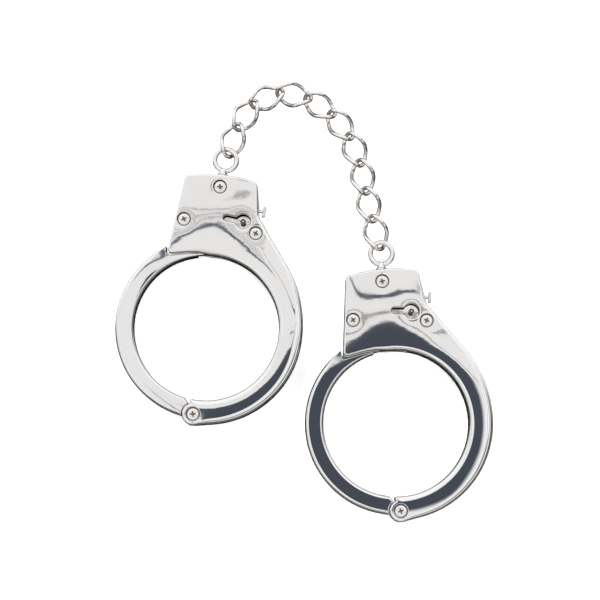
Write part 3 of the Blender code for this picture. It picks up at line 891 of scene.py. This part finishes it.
def floor():
    """Plain white table. In reflections it carries painted shade: it darkens near the object and
    towards the picture's foot.
    """
    mesh = bpy.data.meshes.new("table")
    reach, level = 4.0, -0.0002
    corners = [(x * reach, y * reach, level) for x, y in ((-1, -1), (1, -1), (1, 1), (-1, 1))]
    mesh.from_pydata(corners, [], [(0, 1, 2, 3)])
    table = new_object("table", mesh)
    material = bpy.data.materials.new("table_white")
    material.use_nodes = True
    tree = Nodes(material.node_tree)
    shader = material.node_tree.nodes["Principled BSDF"]
    shader.inputs["Roughness"].default_value = 0.9

    way = tree.add("ShaderNodeSeparateXYZ")
    tree.link(tree.add("ShaderNodeNewGeometry").outputs["Incoming"], way.inputs[0])
    lit = tree.ramp(way.outputs[1], 0.0, -0.3)
    rays = tree.add("ShaderNodeLightPath").outputs
    shader.inputs["Emission Color"].default_value = (1.0, 1.0, 1.0, 1.0)
    tree.link(tree.maths("MULTIPLY", rays["Is Camera Ray"], 0.26), shader.inputs["Emission Strength"])
    # Reflected table colour: painted shade, darker near the object and towards the picture's foot.
    near = tree.add("ShaderNodeAmbientOcclusion", samples=4)
    near.inputs["Distance"].default_value = 0.025
    open_sky = tree.maths("POWER", near.outputs["AO"], 3.0)
    mirrored = tree.maths("MULTIPLY", open_sky,
                          tree.maths("ADD", tree.maths("MULTIPLY", lit, 0.45), 0.10))
    mix = tree.add("ShaderNodeMixRGB")
    tree.link(rays["Is Glossy Ray"], mix.inputs["Fac"])
    mix.inputs["Color1"].default_value = (0.93, 0.93, 0.93, 1.0)
    tree.link(mirrored, mix.inputs["Color2"])
    tree.link(mix.outputs["Color"], shader.inputs["Base Color"])
    mesh.materials.append(material)


def line(tree, value, centre, half, soft=0.35):
    """1 on a thin stripe, 0 beside it."""
    away = tree.maths("ABSOLUTE", tree.maths("SUBTRACT", value, centre), 0.0)
    return tree.ramp(away, half * (1.0 + soft), half * (1.0 - soft))


def band(tree, value, low, high, soft):
    """1 between low and high, with soft edges."""
    return tree.times(tree.ramp(value, low - soft, low + soft),
                      tree.ramp(value, high + soft, high - soft))


def streak(tree, x, y, centre, angle, halves):
    """1 inside a short stripe at an angle in degrees, with soft ends."""
    turn = math.radians(angle)
    dx, dy = tree.maths("SUBTRACT", x, centre[0]), tree.maths("SUBTRACT", y, centre[1])
    along = tree.maths("ADD", tree.maths("MULTIPLY", dx, math.cos(turn)),
                       tree.maths("MULTIPLY", dy, math.sin(turn)))
    aside = tree.maths("SUBTRACT", tree.maths("MULTIPLY", dy, math.cos(turn)),
                       tree.maths("MULTIPLY", dx, math.sin(turn)))
    return tree.times(line(tree, along, 0.0, halves[0], 0.4), line(tree, aside, 0.0, halves[1], 0.7))


class Sky:
    """Colour of the studio by direction, painted in layers over a plain ground."""

    def __init__(self, tree, ground):
        self.tree = tree
        self.ground = ground
        self.colour = None

    def paint(self, mask, colour):
        mix = self.tree.add("ShaderNodeMixRGB")
        self.tree.link(mask, mix.inputs["Fac"])
        if self.colour is None:
            mix.inputs["Color1"].default_value = (*self.ground, 1.0)
        else:
            self.tree.link(self.colour, mix.inputs["Color1"])
        mix.inputs["Color2"].default_value = (*colour, 1.0)
        self.colour = mix.outputs["Color"]


def side_strips(tree, sky, x, y, z):
    """Dark strips that draw lines along rounded rims and wires."""
    corner = towards_corner(tree, x, y)
    near_side = tree.ramp(y, 0.6, 0.2)
    sky.paint(tree.times(band(tree, z, -0.05, 0.22, 0.02), tree.ramp(y, 0.2, -0.05)),
              (0.11, 0.095, 0.09))
    sky.paint(tree.times(band(tree, z, -0.05, 0.38, 0.02), tree.ramp(corner, 0.0, 0.35)),
              (0.085, 0.068, 0.058))
    sky.paint(tree.times(band(tree, z, 0.70, 0.80, 0.015), tree.ramp(corner, 0.45, 0.7)),
              (0.13, 0.13, 0.14))
    for level, half in ((0.44, 0.035), (0.66, 0.040), (0.87, 0.012)):
        sky.paint(tree.times(line(tree, z, level, half), near_side), (0.26, 0.235, 0.22))


def ceiling(tree, sky, x, y, top):
    """Dark patch overhead, with a crisp upper left corner and a soft lower right one,
    then thin seams between panels and two short streaks."""
    blue, brown = (0.08, 0.095, 0.13), (0.20, 0.18, 0.165)
    patch = tree.times(tree.ramp(x, -0.0445, -0.0415), tree.ramp(y, 0.0725, 0.0705),
                       tree.ramp(x, 0.105, 0.078), tree.ramp(y, -0.035, -0.005))
    sky.paint(tree.times(patch, top), (0.068, 0.078, 0.100))

    # The wide seam on the right curls up at its left end.
    right, left = tree.ramp(x, -0.010, -0.004), tree.ramp(x, -0.004, -0.010)
    curl = tree.times(tree.maths("MAXIMUM", tree.maths("SUBTRACT", 0.031, x), 0.0), 89.0)
    lowered = tree.maths("SUBTRACT", y, tree.times(curl, curl, 0.0085))
    curled = tree.times(right, tree.ramp(x, 0.0470, 0.0440))
    for value, centre, half, side, colour in (
            (y, 0.0795, 0.0010, right, brown), (lowered, 0.0957, 0.0026, curled, blue),
            (y, 0.1127, 0.0019, left, blue), (y, 0.1182, 0.0005, left, brown),
            (y, 0.1215, 0.0005, left, brown), (y, 0.1258, 0.0005, left, brown)):
        sky.paint(tree.times(line(tree, value, centre, half), side, top), colour)
    upright_seam = tree.times(line(tree, x, -0.056, 0.0009), tree.ramp(y, 0.070, 0.062))
    sky.paint(tree.times(upright_seam, top), blue)

    faint = streak(tree, x, y, (-0.0258, 0.1433), 58.0, (0.0075, 0.0020))
    sky.paint(tree.times(faint, 0.7), (0.25, 0.22, 0.20))
    sky.paint(streak(tree, x, y, (0.0488, 0.1040), 80.0, (0.0060, 0.0013)), blue)


def studio_world():
    """White tent with a slightly warmer top, a marked ceiling and dark strips low down."""
    world = bpy.data.worlds.new("studio")
    bpy.context.scene.world = world
    world.use_nodes = True
    tree = Nodes(world.node_tree)
    way = tree.add("ShaderNodeSeparateXYZ")
    tree.link(tree.add("ShaderNodeTexCoord").outputs["Generated"], way.inputs[0])
    x, y, z = way.outputs
    top = tree.ramp(z, 0.93, 0.97)

    sky = Sky(tree, (1.12, 1.12, 1.12))
    sky.paint(top, (0.93, 0.92, 0.905))
    side_strips(tree, sky, x, y, z)
    ceiling(tree, sky, x, y, top)
    tree.link(sky.colour, world.node_tree.nodes["Background"].inputs["Color"])


def area_light(name, at, size, power):
    """Square lamp aimed at the object, for the table only: it stays out of reflections."""
    data = bpy.data.lights.new(name, "AREA")
    data.shape = "RECTANGLE"
    data.size = data.size_y = size
    data.energy = power
    light = new_object(name, data)
    light.location = at
    light.visible_glossy = False
    light.rotation_euler = (-Vector(at)).to_track_quat("-Z", "Y").to_euler()


def camera():
    """Long lens, almost straight above, from the side of the bows."""
    target = Vector((-0.0014, 0.0001, 0.0055))
    elevation, distance = math.radians(84.6), 0.9
    data = bpy.data.cameras.new("camera")
    data.lens = 142.0
    data.sensor_width = 36.0
    view = new_object("camera", data)
    view.location = target + Vector((0.0, -math.cos(elevation), math.sin(elevation))) * distance
    view.rotation_euler = (target - view.location).to_track_quat("-Z", "Y").to_euler()
    bpy.context.scene.camera = view


build_cuffs()
build_chain()
floor()
studio_world()
area_light("key_light", (-0.5, 0.9, 1.0), 0.8, 28.0)
area_light("fill_light", (0.7, -0.9, 1.2), 0.9, 18.0)
camera()
bpy.context.scene.view_settings.view_transform = "Standard"
